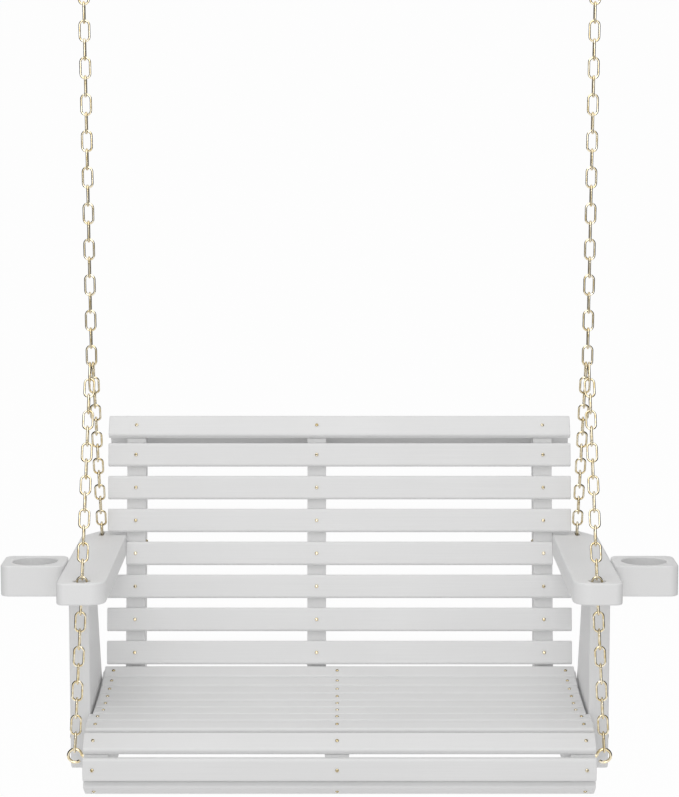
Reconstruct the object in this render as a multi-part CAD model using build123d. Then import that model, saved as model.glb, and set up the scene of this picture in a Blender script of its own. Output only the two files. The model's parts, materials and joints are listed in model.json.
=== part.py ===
from build123d import *
import os
from collections import namedtuple
from math import cos, radians, sin, sqrt

# Porch swing for two, hung by chains from two ceiling hooks. Millimetres and degrees.
# The model is laid out with y = z = 0 on the face of the front seat slat, +Y to the back,
# and is moved at the end so that the origin lies midway between the hooks, on the ceiling.

# Board stock
slat_thickness = 17.0
slat_edge_radius = 5.5
slat_end_radius = 2.0
rib_thickness = 49.5
stile_thickness = 41.0
arm_thickness = 45.0
post_thickness = 42.0
board_edge_radius = 3.0

# Seat: slat headings run from the tucked-under slat to the rear slat, 0 is level
seat_slat_width = 48.0
seat_slat_gap = 2.5
slat_length = 1040.0
slat_overhang = 2.0
slat_post_gap = 2.0
slat_end_gap = 5.5
seat_screw_inset = 19.75
tucked_heading = 144.0
front_heading = 87.0
nose_heading = 30.0
seat_headings = [0.5, -4.5, -4.0, -3.0, -2.0, -0.5, 3.5, 10.0]

# Seat ribs
rib_tail_length = 84.0
rib_tail_height = 105.0
rib_tail_drop = 18.0
rib_tail_radius = 18.0

# Back
back_recline = 17.5
back_slat_width = 51.5
back_slat_gap = 20.8
back_slat_count = 7
back_slat_inset = 9.0
slat_arm_gap = 3.0
back_start = 43.2
seat_back_gap = 4.0
top_slat_heading = 46.0
top_slat_gap = 17.5
rear_slat_heading = -80.0
rear_slat_width = 68.0
stile_depth = 66.0
stile_foot = 74.0
centre_rib_x = -5.0

# Arms
arm_slope = 5.4
arm_height = 386.0
arm_front_y = 15.0
arm_tail = 12.9
arm_width = 98.0
arm_corner_radius = 15.0
arm_inner_corner_radius = 35.0
arm_edge_radius = 3.5
arm_rear_cut_x = 34.0
arm_rear_cut_length = 62.0
front_hole_radius = 17.0
chain_hole_rim = 3.0
front_hole_from_end = 30.0
rear_slot_length = 50.0
rear_slot_width = 10.0
rear_slot_ahead = 8.5
rear_chain_from_end = 26.0
rear_chain_outboard = 6.0

# Arm supports
post_front_y = 168.0
post_top_depth = 158.0
post_flare = 17.0
post_heel_depth = 284.0
post_heel_z = 25.0
post_foot_depth = 262.0
post_foot_z = -60.0
post_foot_radius = 16.0
post_heel_radius = 24.0

# Cup holders
holder_width = 131.0
holder_depth = 115.0
holder_height = 64.0
holder_rise = 5.5
holder_corner_radius = 18.0
holder_edge_radius = 3.0
holder_from_front = 212.0
cup_radius = 46.0
cup_floor = 7.0
cup_rim_radius = 3.0

# Chain
wire = 4.5
link_inner_length = 37.6
link_inner_width = 15.0
link_clearance = 0.2
end_link_inner_length = 60.4
leg_links = 13
front_lower_links = 10
rear_links = 12
main_links = 22
junction_spread = 3.0
junction_rise = 1.0

# Eye bolts and ceiling hooks
eye_radius = 14.0
eye_wire = 6.0
eye_opening = 50.0
front_eye_standoff = 22.0
front_eye_depth = 38.0
front_eye_y = 61.0
front_eye_z = 9.0
bolt_radius = 4.0
hook_radius = 16.0
hook_wire = 7.0
hook_opening = 60.0
hook_neck = 24.0
hook_stud_length = 50.0

# Fasteners
screw_radius = 2.0
screw_length = 42.0
screw_head_radius = 3.8
screw_head_height = 2.4
screw_recess = 1.4
screw_head_roundness = 0.8
bolt_head_roundness = 0.7
fastener_clearance = 0.1
cut_overshoot = 1.0
bolt_head_radius = 8.0
bolt_head_height = 4.5
bolt_tail = 3.0
nut_radius = 7.6
nut_height = 6.4

# Joinery
dowel_radius = 5.0
dowel_length = 60.0
dowel_spacing = 100.0
post_bolt_rise = 57.0
post_bolt_inset = 40.0
lap_bolt_high = 13.0
lap_bolt_low = 52.0
arm_bolt_beyond_slot = 15.0
cup_screw_spacing = 44.0
cup_screw_wall = 10.0
cup_screw_length = 26.0
cup_screw_clearance = 1.0

# Edges are told apart by place and size within this
tolerance = 0.01

SIDES = {"left": -1, "right": 1}
UP = Vector(0, 0, 1)
ACROSS = Vector(1, 0, 0)

# A slat's outer face: its centre, the heading of its width and its length along x
SlatFace = namedtuple("SlatFace", "name centre heading width length")


# Small geometry helpers

def side_point(y, z):
    """A point in the side view."""
    return Vector(0, y, z)


def along(heading):
    """The unit vector of a heading in the side view, from +Y towards +Z."""
    return Vector(0, cos(radians(heading)), sin(radians(heading)))


def outward(heading):
    """The unit normal of a face with that heading, to its left."""
    return Vector(0, -sin(radians(heading)), cos(radians(heading)))


def shifted(point, x):
    """The point moved to another x."""
    return Vector(x, point.Y, point.Z)


def rod(start, direction, length, radius):
    """A round bar from start along direction."""
    circle = Plane(origin=start, z_dir=direction) * Circle(radius)
    return extrude(circle, amount=length)


def side_board(outline, low_x, high_x):
    """A board cut to an outline in the side view, between two x."""
    return extrude(Plane.YZ.offset(low_x) * outline, amount=high_x - low_x)


def polygon(points):
    """A closed outline through side-view points."""
    return make_face(Polyline(*[(p.Y, p.Z) for p in points], close=True))


def rounded(outline, points, radius):
    """The outline with the corners at those side-view points rounded."""
    corners = [outline.vertices().sort_by_distance((p.Y, p.Z, 0))[0] for p in points]
    return fillet(corners, radius)


# Slat layout in the side view

def opened_gap(turn):
    """The outer gap that keeps the inner edges of two turned slats apart."""
    return seat_slat_gap + 2 * slat_thickness * sin(radians(max(turn, 0) / 2))


def next_centre(face, heading, width):
    """The face centre of a slat that follows another one round a turn."""
    gap = opened_gap(face.heading - heading)
    edge = face.centre + along(face.heading) * (face.width / 2)
    return edge + along((face.heading + heading) / 2) * gap + along(heading) * (width / 2)


def seat_faces():
    """The seat slats from the front tuck round the nose to the rear."""
    front = side_point(0, 0)
    gap = opened_gap(tucked_heading - front_heading)
    middle = along((tucked_heading + front_heading) / 2)
    half = seat_slat_width / 2
    tucked = front - along(front_heading) * half - middle * gap - along(tucked_heading) * half
    faces = [SlatFace("tucked", tucked, tucked_heading, seat_slat_width, slat_length)]
    faces.append(SlatFace("front", front, front_heading, seat_slat_width, slat_length))
    for heading in [nose_heading] + seat_headings:
        centre = next_centre(faces[-1], heading, seat_slat_width)
        face = SlatFace("top", centre, heading, seat_slat_width, slat_length)
        if meets_post(face):
            face = face._replace(length=2 * (rib_outer_x - slat_end_gap))
        faces.append(face)
    return [f._replace(name=f"seat_slat_{len(faces) - n}") for n, f in enumerate(faces)]


def back_faces():
    """The back slats from the seat up, over the rolled top to the rear one."""
    faces = []
    pitch = back_slat_width + back_slat_gap
    for step in range(back_slat_count):
        centre = back_foot + back_along * (back_start + step * pitch) + back_out * slat_thickness
        face = SlatFace("back", centre, back_heading, back_slat_width, back_slat_length)
        if meets_arm(face):
            face = face._replace(length=2 * stile_outer_x)
        faces.append(face)
    half = back_slat_width / 2
    top_start = faces[-1].centre + back_along * (half + top_slat_gap)
    top = top_start + along(top_slat_heading) * half
    faces.append(SlatFace("top", top, top_slat_heading, back_slat_width, back_slat_length))
    faces = [f._replace(name=f"back_slat_{len(faces) - n}") for n, f in enumerate(faces)]
    rear = next_centre(faces[-1], rear_slat_heading, rear_slat_width)
    faces.append(SlatFace("top_rear_slat", rear, rear_slat_heading, rear_slat_width, back_slat_length))
    return faces


def underside(face):
    """The two ends of a slat's inner face, in the order of its heading."""
    middle = face.centre - outward(face.heading) * slat_thickness
    half = along(face.heading) * (face.width / 2)
    return [middle - half, middle + half]


def corners(face):
    """The four corners of a slat's section."""
    half = along(face.heading) * (face.width / 2)
    return underside(face) + [face.centre - half, face.centre + half]


def meets_post(face):
    """Whether a slat would run into the arm supports, which it then stops between."""
    share = (face.centre.Z - post_foot_z) / (post_heel_z - post_foot_z)
    post_depth = post_foot_depth + share * (post_heel_depth - post_foot_depth)
    reaches = [corner.Y - post_front_y for corner in corners(face)]
    return max(reaches) > -slat_post_gap and min(reaches) < post_depth + slat_post_gap


def meets_arm(face):
    """Whether a slat would run into the arms, which it then stops between."""
    depths = [(arm_end - corner).dot(arm_up) for corner in corners(face)]
    reaches = [(corner - arm_end).dot(arm_along) for corner in corners(face)]
    level = min(depths) < arm_thickness + slat_arm_gap and max(depths) > -slat_arm_gap
    return level and min(reaches) < arm_length + slat_arm_gap


def crossing(start, direction, other_start, other_direction):
    """How far along one side-view line another one crosses it."""
    gap = other_start - start
    turn = direction.Y * other_direction.Z - direction.Z * other_direction.Y
    return (gap.Y * other_direction.Z - gap.Z * other_direction.Y) / turn


# Widths across the swing
rib_outer_x = slat_length / 2 - slat_overhang
rib_inner_x = rib_outer_x - rib_thickness
stile_outer_x = rib_inner_x
stile_inner_x = stile_outer_x - stile_thickness
post_outer_x = rib_outer_x + post_thickness
back_slat_length = 2 * (rib_outer_x - back_slat_inset)
arm_inner_x = stile_outer_x
arm_outer_x = arm_inner_x + arm_width
arm_middle_x = (arm_inner_x + arm_outer_x) / 2

# Each rib or stile as its low and high x
RIBS = {
    "left": (-rib_outer_x, -rib_inner_x),
    "centre": (centre_rib_x - rib_thickness / 2, centre_rib_x + rib_thickness / 2),
    "right": (rib_inner_x, rib_outer_x),
}
STILES = {
    "left": (-stile_outer_x, -stile_inner_x),
    "centre": (RIBS["centre"][0] - stile_thickness, RIBS["centre"][0]),
    "right": (stile_inner_x, stile_outer_x),
}

# The back stands behind the rear seat slat's lower edge
SEAT = seat_faces()
back_heading = 90 - back_recline
back_along = along(back_heading)
back_out = outward(back_heading)
back_foot = underside(SEAT[-1])[1] - back_out * seat_back_gap
stile_middle = back_foot - back_out * (stile_depth / 2)

# The arms' plane, with its front end, lengthways and upward directions
arm_along = along(-arm_slope)
arm_up = outward(-arm_slope)
arm_end = side_point(arm_front_y, arm_height + front_hole_from_end * sin(radians(arm_slope)))

# The arms run back past the stiles' middle line. A bolt through stile and arm carries the rear chain.
arm_middle = arm_end - arm_up * (arm_thickness / 2)
arm_length = crossing(arm_middle, arm_along, stile_middle, back_along) + arm_tail
front_hole = arm_end + arm_along * front_hole_from_end
rear_chain_x = arm_middle_x + rear_chain_outboard
arm_bolt_reach = arm_length - rear_chain_from_end
arm_bolt = arm_middle + arm_along * arm_bolt_reach
arm_bolt_length = rear_chain_x + rear_slot_width / 2 + arm_bolt_beyond_slot - stile_inner_x
BACK = back_faces()

# Bolts through the stiles sit on the stiles' middle line
LAP_BOLTS = [stile_middle - back_along * down for down in (lap_bolt_high, lap_bolt_low)]
front_eye = side_point(front_eye_y, front_eye_z)
front_eye_x = rib_outer_x + front_eye_standoff


# Screws, bolts and nuts, each standing on z = 0 with its shank down

def wood_screw(length):
    """A domed screw with a cross recess."""
    head = extrude(Circle(screw_head_radius), amount=screw_head_height)
    head = fillet(head.edges().sort_by(Axis.Z)[-1], screw_head_height * screw_head_roundness)
    recess = Box(screw_head_radius, screw_recess, screw_recess * 2)
    recess += Rot(0, 0, 90) * recess
    head -= Pos(0, 0, screw_head_height) * recess
    return head + rod(Vector(0, 0, 0), -UP, length, screw_radius)


def carriage_bolt(length):
    """A round-headed bolt."""
    head = extrude(Circle(bolt_head_radius), amount=bolt_head_height)
    head = fillet(head.edges().sort_by(Axis.Z)[-1], bolt_head_height * bolt_head_roundness)
    return head + rod(Vector(0, 0, 0), -UP, length, bolt_radius)


def hex_nut():
    """A nut on z = 0, its bore clear of the bolt."""
    body = RegularPolygon(nut_radius, 6) - Circle(bolt_radius + fastener_clearance)
    return extrude(body, amount=nut_height)


def seated(shape, point, direction):
    """A fastener moved to a point, its head towards direction."""
    return shape.moved(Plane(origin=point, z_dir=direction).location)


def shank_hole(point, direction, length, radius):
    """The hole for a shank that goes in against direction."""
    return rod(point, -direction, length + fastener_clearance, radius + fastener_clearance)


def cross_hole(point, low_x, high_x):
    """A bolt hole right through a board, along x."""
    start = shifted(point, low_x - cut_overshoot)
    return rod(start, ACROSS, high_x - low_x + 2 * cut_overshoot, bolt_radius + fastener_clearance)


def round_rims(board, radius):
    """The edges of a board's round holes of one radius."""
    circles = board.edges().filter_by(GeomType.CIRCLE)
    return circles.filter_by(lambda edge: abs(edge.radius - radius) < tolerance)


def faces_across(board, direction):
    """A board's flat faces square to a direction."""
    return board.faces().filter_by(lambda f: abs(f.normal_at().dot(direction)) > 1 - tolerance)


# Screw places on the slats

def screw_columns(face):
    """The x of a slat's screws: on the stiles, or near a seat slat's ends and on the middle rib."""
    if face in BACK:
        return {name: (low + high) / 2 for name, (low, high) in STILES.items()}
    end = face.length / 2 - seat_screw_inset
    return {"left": -end, "centre": centre_rib_x, "right": end}


def screw_points(face):
    """Screw places on a slat's face."""
    return [shifted(face.centre, x) for x in screw_columns(face).values()]


def slat(face):
    """A slat with rounded edges and its screw holes."""
    plane = Plane(origin=face.centre, x_dir=along(face.heading), z_dir=ACROSS)
    section = RectangleRounded(face.width, slat_thickness, slat_edge_radius)
    section = plane * Pos(0, -slat_thickness / 2) * section
    board = extrude(section, amount=face.length / 2, both=True)
    ends = board.faces().filter_by(Axis.X)
    board = fillet(ends.edges(), slat_end_radius)
    normal = outward(face.heading)
    return board - [shank_hole(p, normal, slat_thickness, screw_radius) for p in screw_points(face)]


def slat_screws(faces):
    """All the screws of a set of slats."""
    screw = wood_screw(screw_length)
    return [seated(screw, p, outward(face.heading)) for face in faces for p in screw_points(face)]


def screw_holes(faces, name):
    """The holes that the slats' screws need in one rib or stile."""
    places = [(shifted(f.centre, screw_columns(f)[name]), outward(f.heading)) for f in faces]
    return [shank_hole(p, normal, screw_length, screw_radius) for p, normal in places]


# Seat ribs and back stiles

def rib_outline():
    """A rib's side view: faceted under the slats, with a rounded tail."""
    top = [p for face in SEAT for p in underside(face)]
    tail_top = top[-1] + side_point(rib_tail_length, -rib_tail_drop)
    tail_low = tail_top - UP * rib_tail_height
    return rounded(polygon(top + [tail_top, tail_low]), [tail_top, tail_low], rib_tail_radius)


def rib(name):
    """One seat rib with its screw and bolt holes."""
    low, high = RIBS[name]
    holes = screw_holes(SEAT, name)
    bolts = LAP_BOLTS
    if name in SIDES:
        sign = SIDES[name]
        bolts = bolts + POST_BOLTS
        eye_start = shifted(front_eye, sign * rib_outer_x)
        holes.append(shank_hole(eye_start, ACROSS * sign, front_eye_depth, bolt_radius))
    holes += [cross_hole(p, low, high) for p in bolts]
    return side_board(rib_outline(), low, high) - holes


def stile_outline():
    """A stile's side view: straight behind the slats, with a rolled head."""
    foot_front = back_foot - back_along * stile_foot
    foot_rear = foot_front - back_out * stile_depth
    straight_end = underside(BACK[-3])[1]
    head = underside(BACK[-2]) + underside(BACK[-1])
    return polygon([foot_front, straight_end] + head + [foot_rear])


def stile(name):
    """One back stile with its screw and bolt holes."""
    low, high = STILES[name]
    bolts = LAP_BOLTS + [arm_bolt] if name in SIDES else LAP_BOLTS
    holes = screw_holes(BACK, name) + [cross_hole(p, low, high) for p in bolts]
    board = side_board(stile_outline(), low, high)
    behind = stile_middle - back_out * stile_depth + back_along * back_start
    rear = board.edges().sort_by_distance(shifted(behind, (low + high) / 2))[:2]
    return fillet(rear, board_edge_radius) - holes


# Arms, their supports and the cup holders

def on_arm(distance, depth):
    """A side-view point at a distance from the arm's front end and a depth under its top."""
    return arm_end + arm_along * distance - arm_up * depth


def arm_plane(sign):
    """The arm's top plane seen from above: local x outwards, local y to the back."""
    return Plane(origin=shifted(arm_end, sign * arm_middle_x), x_dir=ACROSS, z_dir=arm_up)


def dowel_holes(sign, direction):
    """Half-deep holes for the dowels between an arm and its support."""
    places = [shifted(p, sign * post_middle_x) for p in DOWELS]
    return [shank_hole(p, direction, dowel_length / 2, dowel_radius) for p in places]


def arm(sign):
    """One arm, its rear outer corner cut off, with a hole and a slot for the chains."""
    half = arm_width / 2
    inner, outer = -sign * half, sign * half
    points = [(inner, 0), (outer, 0), (outer, arm_length - arm_rear_cut_length)]
    points += [(outer - sign * arm_rear_cut_x, arm_length), (inner, arm_length)]
    outline = make_face(Polyline(*points, close=True))
    outline = fillet(outline.vertices().sort_by_distance((inner, 0, 0))[0], arm_inner_corner_radius)
    outer_corners = outline.vertices().group_by(Axis.X)[0 if sign < 0 else -1]
    outline = fillet(outer_corners, arm_corner_radius)
    plane = arm_plane(sign)
    board = extrude(plane * outline, amount=-arm_thickness)
    board = fillet(faces_across(board, arm_up).edges(), arm_edge_radius)
    start = shifted(front_hole + arm_up * cut_overshoot, sign * arm_middle_x)
    board -= rod(start, -arm_up, arm_thickness + 2 * cut_overshoot, front_hole_radius)
    board = fillet(round_rims(board, front_hole_radius), chain_hole_rim)
    slot = Rot(0, 0, 90) * SlotOverall(rear_slot_length, rear_slot_width)
    slot = Pos(sign * rear_chain_outboard, arm_bolt_reach - rear_slot_ahead, cut_overshoot) * slot
    board -= extrude(plane * slot, amount=-arm_thickness - 2 * cut_overshoot)
    holes = dowel_holes(sign, -arm_up)
    bolt_start = shifted(arm_bolt, sign * stile_inner_x)
    holes.append(shank_hole(bolt_start, ACROSS * -sign, arm_bolt_length, bolt_radius))
    for p in CUP_SCREWS:
        head = shifted(p, sign * cup_screw_x)
        holes.append(shank_hole(head, ACROSS * sign, cup_screw_length, screw_radius))
    return board - holes


def post_outline():
    """An arm support's side view: straight front, rear edge flaring out to a heel."""
    top_front = on_arm(post_front_distance, arm_thickness)
    top_rear = top_front + arm_along * post_top_depth
    foot_front = side_point(top_front.Y - (top_front.Z - post_foot_z) * arm_lean, post_foot_z)
    foot_rear = side_point(post_front_y + post_foot_depth, post_foot_z)
    heel = side_point(post_front_y + post_heel_depth, post_heel_z)
    down = along(post_flare - 90)
    curve = TangentArc((top_rear.Y, top_rear.Z), (heel.Y, heel.Z), tangent=(down.Y, down.Z))
    corners_round = (heel, foot_rear, foot_front, top_front, top_rear)
    outline = make_face(curve + Polyline(*[(p.Y, p.Z) for p in corners_round]))
    outline = rounded(outline, [heel], post_heel_radius)
    return rounded(outline, [foot_front, foot_rear], post_foot_radius)


def post(sign):
    """One arm support, bolted to the outside of its rib."""
    low, high = sorted((sign * rib_outer_x, sign * post_outer_x))
    board = side_board(post_outline(), low, high)
    sides = board.faces().filter_by(Axis.X)
    top_middle = on_arm(post_front_distance + post_top_depth / 2, arm_thickness)
    top = board.faces().sort_by_distance(shifted(top_middle, sign * post_middle_x))[0]
    seats = [edge.center() for edge in top.edges()]
    eased = [e for e in sides.edges() if all((e.center() - s).length > tolerance for s in seats)]
    board = fillet(eased, board_edge_radius)
    holes = dowel_holes(sign, arm_up)
    holes += [cross_hole(p, low, high) for p in POST_BOLTS]
    return board - holes


def cup_holder(sign):
    """A moulded block with a round pocket, screwed to the arm's outer edge."""
    origin = shifted(on_arm(holder_from_front, -holder_rise), sign * holder_x)
    plane = Plane(origin=origin, x_dir=ACROSS, z_dir=arm_up)
    outline = RectangleRounded(holder_width, holder_depth, holder_corner_radius)
    block = extrude(plane * outline, amount=-holder_height)
    block = fillet(faces_across(block, arm_up).edges(), holder_edge_radius)
    pocket_depth = holder_height - cup_floor
    start = origin + arm_up * cut_overshoot
    block -= rod(start, -arm_up, pocket_depth + cut_overshoot, cup_radius)
    rim = round_rims(block, cup_radius).sort_by_distance(origin)[0]
    block = fillet(rim, cup_rim_radius)
    for p in CUP_SCREWS:
        head = shifted(p, sign * cup_screw_x)
        block -= rod(head, ACROSS * sign, cup_radius, screw_head_radius + cup_screw_clearance)
        block -= shank_hole(head, ACROSS * sign, cup_screw_length, screw_radius)
    return block


post_middle_x = (rib_outer_x + post_outer_x) / 2
holder_x = arm_outer_x + holder_width / 2
cup_screw_x = arm_outer_x + cup_screw_wall
arm_lean = sin(radians(arm_slope)) / cos(radians(arm_slope))
post_top_y = post_front_y + arm_height * arm_lean
post_front_distance = (post_top_y - arm_front_y) / cos(radians(arm_slope)) - arm_thickness * arm_lean
DOWELS = [
    on_arm(post_front_distance + post_top_depth / 2 + offset, arm_thickness)
    for offset in (-dowel_spacing / 2, dowel_spacing / 2)
]
POST_BOLTS = [
    side_point(y, post_foot_z + post_bolt_rise)
    for y in (post_front_y + post_bolt_inset, post_front_y + post_foot_depth - post_bolt_inset)
]
CUP_SCREWS = [
    on_arm(holder_from_front + offset, arm_thickness / 2)
    for offset in (-cup_screw_spacing / 2, cup_screw_spacing / 2)
]


# Chain

link_pitch = link_inner_length - link_clearance
link_reach = (link_inner_length + wire) / 2


def chain_link(inner_length):
    """One welded link, upright, its width along x."""
    bend = (link_inner_width + wire) / 2
    straight = inner_length - link_inner_width
    half_ring = Rot(90, 0, 0) * Torus(bend, wire / 2, major_angle=180, align=None)
    link = Pos(0, 0, straight / 2) * half_ring + Pos(0, 0, -straight / 2) * Rot(0, 180, 0) * half_ring
    for x in (-bend, bend):
        link += rod(Vector(x, 0, -straight / 2), UP, straight, wire / 2)
    return link


LINK = chain_link(link_inner_length)
END_LINK = chain_link(end_link_inner_length)


def hold(held_radius, inner_length=link_inner_length):
    """From the middle of a held bar to the middle of the link around it."""
    return inner_length / 2 - held_radius - link_clearance


def linked(link, centre, direction, edge_on):
    """A link moved to its place in a chain, seen edge-on or wide from the front."""
    wide = direction.cross(ACROSS) if edge_on else ACROSS - direction * ACROSS.dot(direction)
    return link.moved(Plane(origin=centre, x_dir=wide, z_dir=direction).location)


def run_of_links(start, direction, lead, count, edge_on_first):
    """Links in line, turned a quarter from each to the next."""
    links = []
    for step in range(count):
        centre = start + direction * (lead + step * link_pitch)
        links.append(linked(LINK, centre, direction, (step % 2 == 0) == edge_on_first))
    return links


def front_bend(sign):
    """The front eye's top, the way from there to the arm's hole, and the chain's turn above the arm."""
    ring = shifted(front_eye, sign * front_eye_x) + UP * eye_radius
    hole_middle = shifted(front_hole - arm_up * (arm_thickness / 2), sign * arm_middle_x)
    direction = (hole_middle - ring).normalized()
    length = hold(eye_wire / 2) + (front_lower_links - 1) * link_pitch + link_reach
    return ring, direction, ring + direction * length


end_link_hold = hold(bolt_radius, end_link_inner_length)
rear_lead = end_link_hold + (end_link_inner_length + link_inner_length) / 2 - link_clearance
front_leg_length = (leg_links - 1) * link_pitch + 2 * hold(wire / 2)
rear_leg_length = rear_lead + (rear_links - 1) * link_pitch + hold(wire / 2)


def junction(sign):
    """Where the two legs meet, from their lengths and where each starts at the arm."""
    front = front_bend(sign)[2]
    rear = shifted(arm_bolt, sign * rear_chain_x)
    front_x = sign * (arm_middle_x + junction_spread) - front.X
    rear_x = sign * (arm_middle_x - junction_spread) - rear.X
    front_reach = sqrt(front_leg_length**2 - front_x**2)
    rear_reach = sqrt(rear_leg_length**2 - rear_x**2)
    span = side_point(rear.Y - front.Y, rear.Z - front.Z)
    share = (front_reach**2 - rear_reach**2 + span.length**2) / (2 * span.length)
    rise = sqrt(front_reach**2 - share**2)
    level = span.normalized()
    return side_point(front.Y, front.Z) + level * share + side_point(-level.Z, level.Y) * rise


def front_chain(sign):
    """A chain from its eye bolt up through the arm to the junction."""
    ring, direction, turn = front_bend(sign)
    links = run_of_links(ring, direction, hold(eye_wire / 2), front_lower_links, True)
    end = shifted(JUNCTION, sign * (arm_middle_x + junction_spread))
    upper = (end - turn).normalized()
    return links + run_of_links(turn, upper, hold(wire / 2), leg_links, True)


def rear_chain(sign):
    """A chain from the bolt in the arm's slot, held by a longer link, to the junction."""
    start = shifted(arm_bolt, sign * rear_chain_x)
    end = shifted(JUNCTION, sign * (arm_middle_x - junction_spread))
    direction = (end - start).normalized()
    first = linked(END_LINK, start + direction * end_link_hold, direction, True)
    return [first] + run_of_links(start, direction, rear_lead, rear_links, False)


def main_chain(sign):
    """The chain from the junction up to the ceiling hook."""
    start = shifted(JUNCTION, sign * arm_middle_x) - UP * junction_rise
    return run_of_links(start, UP, link_reach, main_links, False)


JUNCTION = junction(1)
main_length = link_reach + (main_links - 1) * link_pitch + hold(hook_wire / 2)
hook_hold = JUNCTION + UP * (main_length - junction_rise)
ceiling = hook_hold + UP * (2 * hook_radius + hook_neck)


# Eye bolts and ceiling hooks

def open_ring(radius, thickness, opening):
    """A ring in the xz plane, from its right-hand side up and over, left open below."""
    return Rot(90, 0, 0) * Torus(radius, thickness / 2, major_angle=360 - opening, align=None)


def eye_bolt(sign):
    """An open eye on a bolt that goes into a rib's outer face."""
    ring = open_ring(eye_radius, eye_wire, eye_opening)
    if sign > 0:
        ring = mirror(ring, Plane.YZ)
    body = ring.moved(Location(shifted(front_eye, sign * front_eye_x)))
    neck_x = front_eye_x - eye_radius
    start = shifted(front_eye, sign * neck_x)
    return body + rod(start, ACROSS * -sign, neck_x - rib_outer_x + front_eye_depth, bolt_radius)


def ceiling_hook(sign):
    """A screw hook, its thicker stud going up into the ceiling."""
    centre = shifted(hook_hold, sign * arm_middle_x) + UP * hook_radius
    ring = Rot(0, -90, 0) * mirror(open_ring(hook_radius, hook_wire, hook_opening), Plane.XY)
    if sign < 0:
        ring = mirror(ring, Plane.YZ)
    neck = rod(centre + UP * hook_radius, UP, hook_neck, hook_wire / 2)
    stud = rod(shifted(ceiling, sign * arm_middle_x), UP, hook_stud_length, bolt_radius)
    return ring.moved(Location(centre)) + neck + stud


# Build every node

NODES = {}
for face in SEAT + BACK:
    NODES[face.name] = [slat(face)]
for name in RIBS:
    NODES[f"{name}_seat_rib"] = [rib(name)]
    NODES[f"{name}_back_stile"] = [stile(name)]
for name, sign in SIDES.items():
    NODES[f"{name}_arm"] = [arm(sign)]
    NODES[f"{name}_arm_support"] = [post(sign)]
    NODES[f"{name}_cup_holder"] = [cup_holder(sign)]
    NODES[f"{name}_main_chain"] = main_chain(sign)
    NODES[f"{name}_front_chain"] = front_chain(sign)
    NODES[f"{name}_rear_chain"] = rear_chain(sign)
    NODES[f"{name}_front_eye_bolt"] = [eye_bolt(sign)]
    NODES[f"{name}_ceiling_hook"] = [ceiling_hook(sign)]

NODES["seat_slat_screws"] = slat_screws(SEAT)
NODES["back_slat_screws"] = slat_screws(BACK)

# Bolts: each has its head on one board face and a nut on the other
stile_bolts, stile_nuts, post_bolts, post_nuts = [], [], [], []
arm_bolts, arm_dowels, cup_screws = [], [], []
lap_bolt = carriage_bolt(rib_thickness + stile_thickness + nut_height + bolt_tail)
post_bolt = carriage_bolt(rib_thickness + post_thickness + nut_height + bolt_tail)
nut = hex_nut()
for name in RIBS:
    inward = 1 if name == "left" else -1
    head_x = RIBS[name][0] if inward > 0 else RIBS[name][1]
    nut_x = head_x + inward * (rib_thickness + stile_thickness)
    if name == "centre":
        nut_x = STILES[name][0]
    for p in LAP_BOLTS:
        stile_bolts.append(seated(lap_bolt, shifted(p, head_x), ACROSS * -inward))
        stile_nuts.append(seated(nut, shifted(p, nut_x), ACROSS * inward))
for name, sign in SIDES.items():
    inward = ACROSS * -sign
    for p in POST_BOLTS:
        post_bolts.append(seated(post_bolt, shifted(p, sign * post_outer_x), ACROSS * sign))
        post_nuts.append(seated(nut, shifted(p, sign * rib_inner_x), inward))
    bolt_place = shifted(arm_bolt, sign * stile_inner_x)
    arm_bolts.append(seated(carriage_bolt(arm_bolt_length), bolt_place, inward))
    for p in DOWELS:
        start = shifted(p, sign * post_middle_x) - arm_up * (dowel_length / 2)
        arm_dowels.append(rod(start, arm_up, dowel_length, dowel_radius))
    for p in CUP_SCREWS:
        screw_place = shifted(p, sign * cup_screw_x)
        cup_screws.append(seated(wood_screw(cup_screw_length), screw_place, ACROSS * sign))
NODES["stile_bolts"] = stile_bolts
NODES["stile_bolt_nuts"] = stile_nuts
NODES["arm_support_bolts"] = post_bolts
NODES["arm_support_nuts"] = post_nuts
NODES["arm_bolts"] = arm_bolts
NODES["arm_dowels"] = arm_dowels
NODES["cup_holder_screws"] = cup_screws

# Write the nodes in the frame whose origin is between the hooks on the ceiling
os.makedirs("parts", exist_ok=True)
to_ceiling = Location((0, -ceiling.Y, -ceiling.Z))
for name, solids in NODES.items():
    shape = solids[0] if len(solids) == 1 else Compound(children=solids)
    export_step(shape.moved(to_ceiling), f"parts/{name}.step")

print("junction", JUNCTION, "ceiling", ceiling)
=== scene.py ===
"""Looks of a white slatted porch swing that hangs on gold chains.

Every board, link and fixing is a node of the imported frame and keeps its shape.
This script gives each of them its finish, winds the screw threads that the plain
hook studs stand for, and sets up the studio. Lengths are metres unless a name says mm.
"""

from __future__ import annotations

import json
import logging
import math
from dataclasses import dataclass
from enum import Enum
from typing import Any

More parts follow.
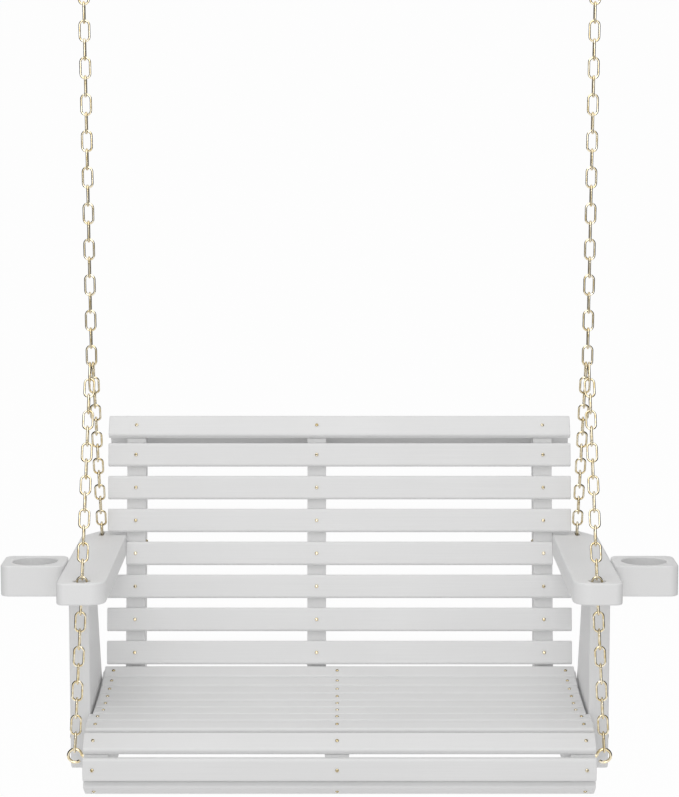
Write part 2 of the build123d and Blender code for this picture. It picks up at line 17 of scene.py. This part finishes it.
import bpy
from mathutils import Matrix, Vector

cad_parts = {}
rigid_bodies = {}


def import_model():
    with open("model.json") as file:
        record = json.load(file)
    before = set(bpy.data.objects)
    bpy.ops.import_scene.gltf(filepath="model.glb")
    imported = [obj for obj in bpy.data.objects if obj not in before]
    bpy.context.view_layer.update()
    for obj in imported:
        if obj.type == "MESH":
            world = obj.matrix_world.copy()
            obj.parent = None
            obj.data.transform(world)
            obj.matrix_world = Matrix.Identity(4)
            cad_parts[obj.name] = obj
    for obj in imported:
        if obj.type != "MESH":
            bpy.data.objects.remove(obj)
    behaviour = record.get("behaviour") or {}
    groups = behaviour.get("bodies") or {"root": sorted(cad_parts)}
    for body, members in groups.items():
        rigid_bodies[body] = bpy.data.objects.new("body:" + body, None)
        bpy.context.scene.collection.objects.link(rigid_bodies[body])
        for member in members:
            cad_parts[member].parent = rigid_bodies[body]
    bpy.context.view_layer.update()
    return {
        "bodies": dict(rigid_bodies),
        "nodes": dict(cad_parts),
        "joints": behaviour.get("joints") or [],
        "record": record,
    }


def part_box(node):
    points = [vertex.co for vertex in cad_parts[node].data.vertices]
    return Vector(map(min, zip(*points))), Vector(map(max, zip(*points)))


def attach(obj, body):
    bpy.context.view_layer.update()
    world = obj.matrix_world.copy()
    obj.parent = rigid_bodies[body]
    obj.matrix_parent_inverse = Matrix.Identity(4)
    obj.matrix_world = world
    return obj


LOG = logging.getLogger("porch_swing")
MM = 0.001
QUARTER_TURN = math.radians(90)
WHITE = (1.0, 1.0, 1.0, 1.0)
SIDES = {"left": -1, "right": 1}
BACK_SLATS = 8
SEAT_SLATS = 11


class Grain(Enum):
    """The way a board's length runs, as its share of each axis."""

    ACROSS = (1, 0, 0)
    ALONG = (0, 1, 0)
    UPRIGHT = (0, 0, 1)


def linear(value: str) -> tuple[float, float, float, float]:
    """Turn an sRGB hex colour into a linear one, by the standard curve.

    Args:
        value: a colour such as "#d9d9d9".

    Returns:
        Red, green, blue and alpha, linear.
    """
    shares = [int(value[start:start + 2], 16) / 255 for start in (1, 3, 5)]
    rgb = [c / 12.92 if c <= 0.04045 else ((c + 0.055) / 1.055) ** 2.4 for c in shares]
    return (rgb[0], rgb[1], rgb[2], 1.0)


def per_metre(size_mm: float) -> float:
    """How often a pattern of a real size repeats in a metre."""
    return 1 / (size_mm * MM)


def add_node(
    tree: bpy.types.NodeTree,
    kind: str,
    inputs: dict[str, Any] | None = None,
    links: dict[str | int, bpy.types.NodeSocket] | None = None,
    **settings: Any,
) -> bpy.types.Node:
    """Add a shader node with its settings and links.

    Args:
        tree: the node tree that gets it.
        kind: the node's type.
        inputs: socket values by name.
        links: source sockets by the name or the number of the input they feed.
        **settings: the node's own properties.

    Returns:
        The new node.
    """
    node = tree.nodes.new(kind)
    for name, value in settings.items():
        setattr(node, name, value)
    for name, value in (inputs or {}).items():
        node.inputs[name].default_value = value
    for name, source in (links or {}).items():
        tree.links.new(source, node.inputs[name])
    return node


def empty_material(name: str) -> tuple[bpy.types.Material, bpy.types.NodeTree]:
    """Make a node material with no nodes yet.

    Args:
        name: the material's name.

    Returns:
        The material and its node tree.
    """
    material = bpy.data.materials.new(name)
    material.use_nodes = True
    material.node_tree.nodes.clear()
    return material, material.node_tree


@dataclass(frozen=True)
class BoardFinish:
    """Satin white plastic lumber: extruded, so it has faint streaks along its length.

    It gives the eye an even white with a soft sheen, and hardly any grain.

    Attributes:
        name: the material's name.
        grain: the way the streaks run.
        tone: the main colour.
        shade: the colour in the streaks.
        tone_range: the part of the pattern over which shade turns to tone.
        streak_width_mm: width of a streak.
        streak_length_mm: length of a streak.
        streak_octaves: how many finer layers the streaks have.
        streak_falloff: how much of each finer layer shows.
        grit_mm: spacing of the fine skin texture, drawn coarser than life to show.
        grit_octaves: how many finer layers the skin texture has.
        mottle_mm: size of the slow change of tone from board to board.
        mottle_octaves: how many finer layers that change has.
        streak_depth_mm: height of the streaks.
        grit_depth_mm: height of the skin texture.
        relief: how much of those heights shows.
        gloss: lowest and highest roughness.
        ior: refraction of polyethylene.
    """

    name: str
    grain: Grain
    tone: str = "#e9e9e9"
    shade: str = "#e5e5e5"
    tone_range: tuple[float, float] = (0.1, 0.4)
    streak_width_mm: float = 2.6
    streak_length_mm: float = 170.0
    streak_octaves: float = 3.0
    streak_falloff: float = 0.55
    grit_mm: float = 1.3
    grit_octaves: float = 2.0
    mottle_mm: float = 210.0
    mottle_octaves: float = 1.0
    streak_depth_mm: float = 0.03
    grit_depth_mm: float = 0.02
    relief: float = 0.5
    gloss: tuple[float, float] = (0.40, 0.52)
    ior: float = 1.5

    def streak_scale(self) -> tuple[float, ...]:
        """Work out the streaks' scale: long along the grain, narrow across it.

        Returns:
            The scale on each axis.
        """
        long_way = per_metre(self.streak_length_mm)
        cross_way = per_metre(self.streak_width_mm)
        return tuple(long_way if share else cross_way for share in self.grain.value)

    def build(self) -> bpy.types.Material:
        """Make the material.

        Returns:
            The finished material.
        """
        material, tree = empty_material(self.name)
        place = add_node(tree, "ShaderNodeTexCoord").outputs["Object"]
        stretched = add_node(tree, "ShaderNodeMapping", {"Scale": self.streak_scale()}, {"Vector": place})
        streaks = add_node(
            tree, "ShaderNodeTexNoise",
            {"Scale": 1.0, "Detail": self.streak_octaves, "Roughness": self.streak_falloff},
            {"Vector": stretched.outputs["Vector"]},
        ).outputs["Fac"]
        grit = add_node(
            tree, "ShaderNodeTexNoise",
            {"Scale": per_metre(self.grit_mm), "Detail": self.grit_octaves}, {"Vector": place},
        ).outputs["Fac"]
        mottle = add_node(
            tree, "ShaderNodeTexNoise",
            {"Scale": per_metre(self.mottle_mm), "Detail": self.mottle_octaves}, {"Vector": place},
        ).outputs["Fac"]
        blend = add_node(tree, "ShaderNodeMath", links={0: streaks, 1: mottle}, operation="MULTIPLY")
        spread = add_node(
            tree, "ShaderNodeMapRange",
            {"From Min": self.tone_range[0], "From Max": self.tone_range[1]},
            {"Value": blend.outputs["Value"]},
        )
        colour = add_node(
            tree, "ShaderNodeMixRGB",
            {"Color1": linear(self.shade), "Color2": linear(self.tone)}, {"Fac": spread.outputs["Result"]},
        )
        rough = add_node(
            tree, "ShaderNodeMapRange",
            {"To Min": self.gloss[0], "To Max": self.gloss[1]}, {"Value": grit},
        )
        ridges = add_node(
            tree, "ShaderNodeBump",
            {"Strength": self.relief, "Distance": self.streak_depth_mm * MM}, {"Height": streaks},
        )
        skin = add_node(
            tree, "ShaderNodeBump",
            {"Strength": self.relief, "Distance": self.grit_depth_mm * MM},
            {"Height": grit, "Normal": ridges.outputs["Normal"]},
        )
        surface = add_node(
            tree, "ShaderNodeBsdfPrincipled", {"IOR": self.ior},
            {"Base Color": colour.outputs["Color"], "Roughness": rough.outputs["Result"],
             "Normal": skin.outputs["Normal"]},
        )
        add_node(tree, "ShaderNodeOutputMaterial", links={"Surface": surface.outputs["BSDF"]})
        return material


@dataclass(frozen=True)
class ZincFinish:
    """Yellow-passivated zinc on steel: a thin gold film, uneven in tone from the bath.

    It gives the eye bright gold lines between dark edges, and painted shade in recesses and where links
    touch.

    Attributes:
        name: the material's name.
        light: the pale gold of a thin film.
        deep: the browner gold of a thick film.
        cloud_mm: size of the uneven patches.
        cloud_octaves: how many finer layers the patches have.
        cloud_range: the part of the pattern over which deep turns to light.
        painted_shade: the colour of the painted shade in recesses and where pieces touch.
        shelter_mm: how near another surface has to be for that.
        unshaded_range: the openness over which the painted shade fades out.
        scuff_mm: spacing of the fine scuffs that the tumbling leaves.
        scuff_octaves: how many finer layers the scuffs have.
        scuff_depth_mm: depth of the scuffs.
        relief: how much of that depth shows.
        gloss: lowest and highest roughness.
    """

    name: str
    light: str = "#f6edd6"
    deep: str = "#dfcb9c"
    cloud_mm: float = 9.0
    cloud_octaves: float = 3.0
    cloud_range: tuple[float, float] = (0.35, 0.65)
    # the dark colour of the painted shade in recesses and where pieces touch
    painted_shade: str = "#4a3c22"
    shelter_mm: float = 4.0
    unshaded_range: tuple[float, float] = (0.35, 0.85)
    scuff_mm: float = 0.9
    scuff_octaves: float = 2.0
    scuff_depth_mm: float = 0.02
    relief: float = 0.4
    gloss: tuple[float, float] = (0.06, 0.16)

    def build(self) -> bpy.types.Material:
        """Make the material.

        Returns:
            The finished material.
        """
        material, tree = empty_material(self.name)
        place = add_node(tree, "ShaderNodeTexCoord").outputs["Object"]
        clouds = add_node(
            tree, "ShaderNodeTexNoise",
            {"Scale": per_metre(self.cloud_mm), "Detail": self.cloud_octaves}, {"Vector": place},
        ).outputs["Fac"]
        scuffs = add_node(
            tree, "ShaderNodeTexNoise",
            {"Scale": per_metre(self.scuff_mm), "Detail": self.scuff_octaves}, {"Vector": place},
        ).outputs["Fac"]
        spread = add_node(
            tree, "ShaderNodeMapRange",
            {"From Min": self.cloud_range[0], "From Max": self.cloud_range[1]}, {"Value": clouds},
        )
        gold = add_node(
            tree, "ShaderNodeMixRGB",
            {"Color1": linear(self.deep), "Color2": linear(self.light)}, {"Fac": spread.outputs["Result"]},
        )
        # Painted shade: the gold turns to a dark colour where another surface is near, in recesses and
        # where links touch.
        shelter = add_node(tree, "ShaderNodeAmbientOcclusion", {"Distance": self.shelter_mm * MM})
        unshaded = add_node(
            tree, "ShaderNodeMapRange",
            {"From Min": self.unshaded_range[0], "From Max": self.unshaded_range[1]},
            {"Value": shelter.outputs["AO"]},
        )
        film = add_node(
            tree, "ShaderNodeMixRGB", {"Color1": linear(self.painted_shade)},
            {"Fac": unshaded.outputs["Result"], "Color2": gold.outputs["Color"]},
        )
        rough = add_node(
            tree, "ShaderNodeMapRange",
            {"To Min": self.gloss[0], "To Max": self.gloss[1]}, {"Value": scuffs},
        )
        dents = add_node(
            tree, "ShaderNodeBump",
            {"Strength": self.relief, "Distance": self.scuff_depth_mm * MM}, {"Height": scuffs},
        )
        surface = add_node(
            tree, "ShaderNodeBsdfPrincipled", {"Metallic": 1.0},
            {"Base Color": film.outputs["Color"], "Roughness": rough.outputs["Result"],
             "Normal": dents.outputs["Normal"]},
        )
        add_node(tree, "ShaderNodeOutputMaterial", links={"Surface": surface.outputs["BSDF"]})
        return material


@dataclass(frozen=True)
class DowelFinish:
    """Plain beech: turned, unfinished, with short dark flecks along the grain.

    It gives the eye a dull tan, where a joint is taken apart.

    Attributes:
        name: the material's name.
        early: the pale wood.
        late: the darker flecks.
        fleck_width_mm: width of a fleck.
        fleck_length_mm: length of a fleck.
        fleck_octaves: how many finer layers the flecks have.
        roughness: roughness of the bare wood.
    """

    name: str = "beech_turned"
    early: str = "#d8b68a"
    late: str = "#b58a5a"
    fleck_width_mm: float = 0.8
    fleck_length_mm: float = 9.0
    fleck_octaves: float = 4.0
    roughness: float = 0.6

    def build(self) -> bpy.types.Material:
        """Make the material.

        Returns:
            The finished material.
        """
        material, tree = empty_material(self.name)
        place = add_node(tree, "ShaderNodeTexCoord").outputs["Object"]
        width = per_metre(self.fleck_width_mm)
        stretched = add_node(
            tree, "ShaderNodeMapping",
            {"Scale": (width, width, per_metre(self.fleck_length_mm))}, {"Vector": place},
        )
        flecks = add_node(
            tree, "ShaderNodeTexNoise",
            {"Scale": 1.0, "Detail": self.fleck_octaves}, {"Vector": stretched.outputs["Vector"]},
        )
        colour = add_node(
            tree, "ShaderNodeMixRGB",
            {"Color1": linear(self.early), "Color2": linear(self.late)}, {"Fac": flecks.outputs["Fac"]},
        )
        surface = add_node(
            tree, "ShaderNodeBsdfPrincipled",
            {"Roughness": self.roughness}, {"Base Color": colour.outputs["Color"]},
        )
        add_node(tree, "ShaderNodeOutputMaterial", links={"Surface": surface.outputs["BSDF"]})
        return material


class Palette:
    """Every finish, made once and shared by the pieces that have it."""

    def __init__(self) -> None:
        """Make the materials."""
        self.across = BoardFinish("plastic_lumber_across", Grain.ACROSS).build()
        self.along = BoardFinish("plastic_lumber_along", Grain.ALONG).build()
        self.upright = BoardFinish("plastic_lumber_upright", Grain.UPRIGHT).build()
        self.zinc = ZincFinish("yellow_zinc").build()
        # The screws get a darker painted shade in their cross recesses and round the feet of their heads.
        self.screw_zinc = ZincFinish(
            "yellow_zinc_screws", light="#eee4cb", deep="#cbb88a", painted_shade="#1f170b", shelter_mm=2.0,
        ).build()
        self.beech = DowelFinish().build()


@dataclass
class SubAssembly:
    """Some of the swing's nodes and the finish that they share.

    Attributes:
        title: what the log calls it.
        nodes: the names of its nodes.
        material: the finish that they get.
    """

    title: str
    nodes: list[str]
    material: bpy.types.Material

    def dress(self, frame: dict[str, Any]) -> None:
        """Give each node its finish.
        """
        for name in self.nodes:
            mesh = frame["nodes"][name].data
            mesh.materials.clear()
            mesh.materials.append(self.material)
            LOG.info("%s: %s", self.title, name)


@dataclass(frozen=True)
class HookThread:
    """A screw thread round a hook's upright stud, as one wound ridge.

    Attributes:
        name: the piece's name.
        middle_x: the stud's place across the swing; it stands at the frame's origin front to back.
        top_z: the stud's upper end; its lower end is at the frame's origin.
        radius_mm: the stud's radius.
        pitch_mm: from one turn to the next.
        start_mm: the plain part under the thread.
        runout_mm: the plain part over the thread.
        ridge_share: radius of the ridge's section, as a share of the pitch.
        steps: straight pieces in one turn.
        corners: corners of the ridge's section, one of them outwards.
        body: the frame's body that it moves with.
        slot: not used; meant as the frame's finish that it belongs to.
    """

    name: str
    middle_x: float
    top_z: float
    radius_mm: float
    pitch_mm: float = 2.4
    start_mm: float = 4.0
    runout_mm: float = 1.0
    ridge_share: float = 0.42
    steps: int = 28
    corners: int = 3
    body: str = "ceiling_hooks"
    slot: str = "gold_steel"

    def turns(self) -> int:
        """Whole turns that fit on the stud, with one left for the ridge's own width."""
        length_mm = self.top_z / MM - self.start_mm - self.runout_mm
        return int(length_mm / self.pitch_mm) - 1

    def wind(self, material: bpy.types.Material) -> None:
        """Make the ridge, close its ends and fix it to its body.

        Args:
            material: the stud's finish.
        """
        pitch = self.pitch_mm * MM
        bpy.ops.object.select_all(action="DESELECT")
        bpy.ops.mesh.primitive_circle_add(
            vertices=self.corners, radius=pitch * self.ridge_share, fill_type="NOTHING",
            location=(-self.radius_mm * MM, 0, pitch / 2), rotation=(QUARTER_TURN, -QUARTER_TURN, 0),
        )
        ridge = bpy.context.object
        ridge.name = self.name
        bpy.ops.object.transform_apply(location=True, rotation=True, scale=True)
        screw = ridge.modifiers.new("turns", "SCREW")
        screw.axis = "Z"
        screw.screw_offset = pitch
        screw.iterations = self.turns()
        screw.steps = self.steps
        screw.render_steps = self.steps
        bpy.ops.object.modifier_apply(modifier=screw.name)
        bpy.ops.object.mode_set(mode="EDIT")
        bpy.ops.mesh.select_all(action="SELECT")
        bpy.ops.mesh.fill_holes(sides=self.corners)
        bpy.ops.mesh.normals_make_consistent(inside=False)
        bpy.ops.object.mode_set(mode="OBJECT")
        ridge.location = (self.middle_x, 0, self.start_mm * MM)
        bpy.ops.object.transform_apply(location=True, rotation=True, scale=True)
        ridge.data.materials.append(material)
        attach(ridge, self.body)
        LOG.info("thread: %s", self.name)


def hook_threads(frame: dict[str, Any]) -> list[HookThread]:
    """List the threads on the hooks' studs.


    Returns:
        One thread for each hook.
    """
    studs = next(mount for mount in frame["record"]["mounts"] if mount["name"] == "ceiling_studs")
    wound = []
    for side in SIDES:
        low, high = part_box(f"{side}_ceiling_hook")
        middle = (low[0] + high[0]) / 2
        wound.append(HookThread(f"{side}_hook_thread", middle, high[2], studs["dims"]["stud_r_mm"]))
    return wound


def sided(*names: str) -> list[str]:
    """The left and right node of each name."""
    return [f"{side}_{name}" for name in names for side in SIDES]


def numbered(name: str, count: int) -> list[str]:
    """The numbered nodes of a name, from 1."""
    return [f"{name}_{number}" for number in range(1, count + 1)]


def sub_assemblies(palette: Palette) -> list[SubAssembly]:
    """List the swing's sub-assemblies.

    Args:
        palette: the finishes.

    Returns:
        The sub-assemblies, which together name every node.
    """
    screws = ["seat_slat_screws", "back_slat_screws", "cup_holder_screws"]
    bolts = ["stile_bolts", "stile_bolt_nuts", "arm_support_bolts", "arm_support_nuts", "arm_bolts"]
    return [
        SubAssembly("back slats", numbered("back_slat", BACK_SLATS) + ["top_rear_slat"], palette.across),
        SubAssembly("seat slats", numbered("seat_slat", SEAT_SLATS), palette.across),
        SubAssembly("seat ribs", sided("seat_rib") + ["centre_seat_rib"], palette.along),
        SubAssembly("back stiles", sided("back_stile") + ["centre_back_stile"], palette.upright),
        SubAssembly("arms", sided("arm"), palette.along),
        SubAssembly("arm supports", sided("arm_support"), palette.upright),
        SubAssembly("cup holders", sided("cup_holder"), palette.along),
        SubAssembly("chains", sided("main_chain", "front_chain", "rear_chain"), palette.zinc),
        SubAssembly("eye bolts and hooks", sided("front_eye_bolt", "ceiling_hook"), palette.zinc),
        SubAssembly("bolts and nuts", bolts, palette.zinc),
        SubAssembly("screws", screws, palette.screw_zinc),
        SubAssembly("dowels", ["arm_dowels"], palette.beech),
    ]


def shown_rays(tree: bpy.types.NodeTree) -> bpy.types.NodeSocket:
    """Tell the rays that show a background from those that light the swing.

    Args:
        tree: the node tree of the background.

    Returns:
        A socket that is 1 for camera, glossy and transmission rays, and else 0.
    """
    rays = add_node(tree, "ShaderNodeLightPath").outputs
    mirrored = add_node(
        tree, "ShaderNodeMath",
        links={0: rays["Is Glossy Ray"], 1: rays["Is Transmission Ray"]}, operation="MAXIMUM",
    )
    shown = add_node(
        tree, "ShaderNodeMath",
        links={0: rays["Is Camera Ray"], 1: mirrored.outputs["Value"]}, operation="MAXIMUM",
    )
    return shown.outputs["Value"]


@dataclass(frozen=True)
class Softbox:
    """A square soft light.

    Attributes:
        name: the lamp's name.
        power: its power in watts.
        place: where it hangs.
        size: its side.
        target: what it points at.
    """

    name: str
    power: float
    place: tuple[float, float, float]
    size: float
    target: tuple[float, float, float]

    def hang(self) -> None:
        """Put the lamp in its place."""
        data = bpy.data.lights.new(self.name, "AREA")
        data.energy = self.power
        data.size = self.size
        lamp = bpy.data.objects.new(self.name, data)
        lamp.location = self.place
        aim = Vector(self.target) - Vector(self.place)
        lamp.rotation_euler = aim.to_track_quat("-Z", "Y").to_euler()
        bpy.context.scene.collection.objects.link(lamp)


@dataclass(frozen=True)
class Flag:
    """A dark upright panel beside the picture, which only the metal and the boards' gloss mirror.

    Attributes:
        near: its front end, as distance from the middle and depth.
        far: its rear end, likewise.
        low: its lower edge's height.
        high: its upper edge's height.
        tone: its colour.
    """

    near: tuple[float, float] = (2.0, -2.4)
    far: tuple[float, float] = (1.35, 4.4)
    low: float = -2.14
    high: float = 0.9
    tone: str = "#1c1914"

    def matt(self) -> bpy.types.Material:
        """Make the panels' matt finish.

        Returns:
            The finished material.
        """
        material, tree = empty_material("dark_flag")
        cloth = add_node(tree, "ShaderNodeBsdfDiffuse", {"Color": linear(self.tone)})
        add_node(tree, "ShaderNodeOutputMaterial", links={"Surface": cloth.outputs["BSDF"]})
        return material

    def stand(self, side: str, material: bpy.types.Material) -> None:
        """Stand the panel up on one side.

        Args:
            side: left or right.
            material: the panel's finish.
        """
        front = Vector((SIDES[side] * self.near[0], self.near[1], self.low))
        rear = Vector((SIDES[side] * self.far[0], self.far[1], self.high))
        run = (rear - front).xy
        turn = math.atan2(run.y, run.x)
        bpy.ops.object.select_all(action="DESELECT")
        bpy.ops.mesh.primitive_plane_add(
            size=1, location=(front + rear) / 2, rotation=(QUARTER_TURN, 0, turn),
        )
        panel = bpy.context.object
        panel.name = f"{side}_flag"
        panel.scale = (run.length, self.high - self.low, 1)
        panel.data.materials.append(material)
        panel.visible_camera = False
        panel.visible_diffuse = False
        panel.visible_transmission = False
        panel.visible_shadow = False


@dataclass
class Studio:
    """The pale floor, the soft light and the camera of the picture.

    Attributes:
        camera_place: where the camera stands.
        camera_pitch: how far it looks down, in degrees.
        lens_mm: its lens.
        sensor_mm: the long side of its sensor.
        floor_z: the floor's height under the bench.
        floor_size: the floor's side.
        floor_tone: the floor's own colour.
        white_share: how much of the floor shows as plain white; the rest takes the shadow.
        fill: the light from all round.
        overhead: the light over the front.
        front: the low light in front.
        flag: the dark panels at the sides, so that the metal's edges show against white.
    """

    camera_place: tuple[float, float, float] = (0.0, -5.31088, 0.25183)
    camera_pitch: float = 12.73
    lens_mm: float = 117.44
    sensor_mm: float = 36.0
    floor_z: float = -2.15
    floor_size: float = 60.0
    floor_tone: str = "#f6f6f6"
    white_share: float = 0.965
    fill: float = 0.575
    overhead: Softbox = Softbox("overhead_softbox", 30.0, (-0.4, -1.2, 1.5), 3.0, (0.0, 0.0, -1.4))
    front: Softbox = Softbox("front_softbox", 34.0, (0.0, -5.0, -0.3), 1.8, (0.0, 0.0, -1.2))
    flag: Flag = Flag()

    def build(self) -> None:
        """Set up the camera, the lights, the world, the floor and the flags."""
        self.add_camera()
        self.overhead.hang()
        self.front.hang()
        self.set_world()
        self.add_floor()
        matt = self.flag.matt()
        for side in SIDES:
            self.flag.stand(side, matt)
        bpy.context.scene.view_settings.view_transform = "Standard"

    def add_camera(self) -> None:
        """Stand the camera where the picture was taken from."""
        data = bpy.data.cameras.new("picture_camera")
        data.lens = self.lens_mm
        data.sensor_width = self.sensor_mm
        camera = bpy.data.objects.new("picture_camera", data)
        camera.location = self.camera_place
        camera.rotation_euler = (QUARTER_TURN - math.radians(self.camera_pitch), 0, 0)
        bpy.context.scene.collection.objects.link(camera)
        bpy.context.scene.camera = camera

    def set_world(self) -> None:
        """Light the swing evenly, and show white behind it and in its metal."""
        world = bpy.data.worlds.new("studio_white")
        bpy.context.scene.world = world
        world.use_nodes = True
        tree = world.node_tree
        tree.nodes.clear()
        around = add_node(tree, "ShaderNodeBackground", {"Color": WHITE, "Strength": self.fill})
        behind = add_node(tree, "ShaderNodeBackground", {"Color": WHITE, "Strength": 1.0})
        shown = add_node(
            tree, "ShaderNodeMixShader",
            links={"Fac": shown_rays(tree),
                   1: around.outputs["Background"],
                   2: behind.outputs["Background"]},
        )
        add_node(tree, "ShaderNodeOutputWorld", links={"Surface": shown.outputs["Shader"]})

    def add_floor(self) -> None:
        """Lay a plain white floor well under the bench."""
        bpy.ops.object.select_all(action="DESELECT")
        bpy.ops.mesh.primitive_plane_add(size=self.floor_size, location=(0, 0, self.floor_z))
        floor = bpy.context.object
        floor.name = "studio_floor"
        material, tree = empty_material("white_floor")
        share = add_node(
            tree, "ShaderNodeMapRange",
            {"To Min": 0.0, "To Max": self.white_share}, {"Value": shown_rays(tree)},
        )
        matt = add_node(tree, "ShaderNodeBsdfDiffuse", {"Color": linear(self.floor_tone)})
        white = add_node(tree, "ShaderNodeEmission", {"Color": WHITE, "Strength": 1.0})
        mixed = add_node(
            tree, "ShaderNodeMixShader",
            links={"Fac": share.outputs["Result"],
                   1: matt.outputs["BSDF"],
                   2: white.outputs["Emission"]},
        )
        add_node(tree, "ShaderNodeOutputMaterial", links={"Surface": mixed.outputs["Shader"]})
        floor.data.materials.append(material)


def main() -> None:
    """Load the frame, dress every node and set up the studio."""
    logging.basicConfig(level=logging.INFO, format="%(name)s: %(message)s")
    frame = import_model()
    palette = Palette()
    for part in sub_assemblies(palette):
        part.dress(frame)
    for thread in hook_threads(frame):
        thread.wind(palette.zinc)
    Studio().build()


if __name__ == "__main__":
    main()
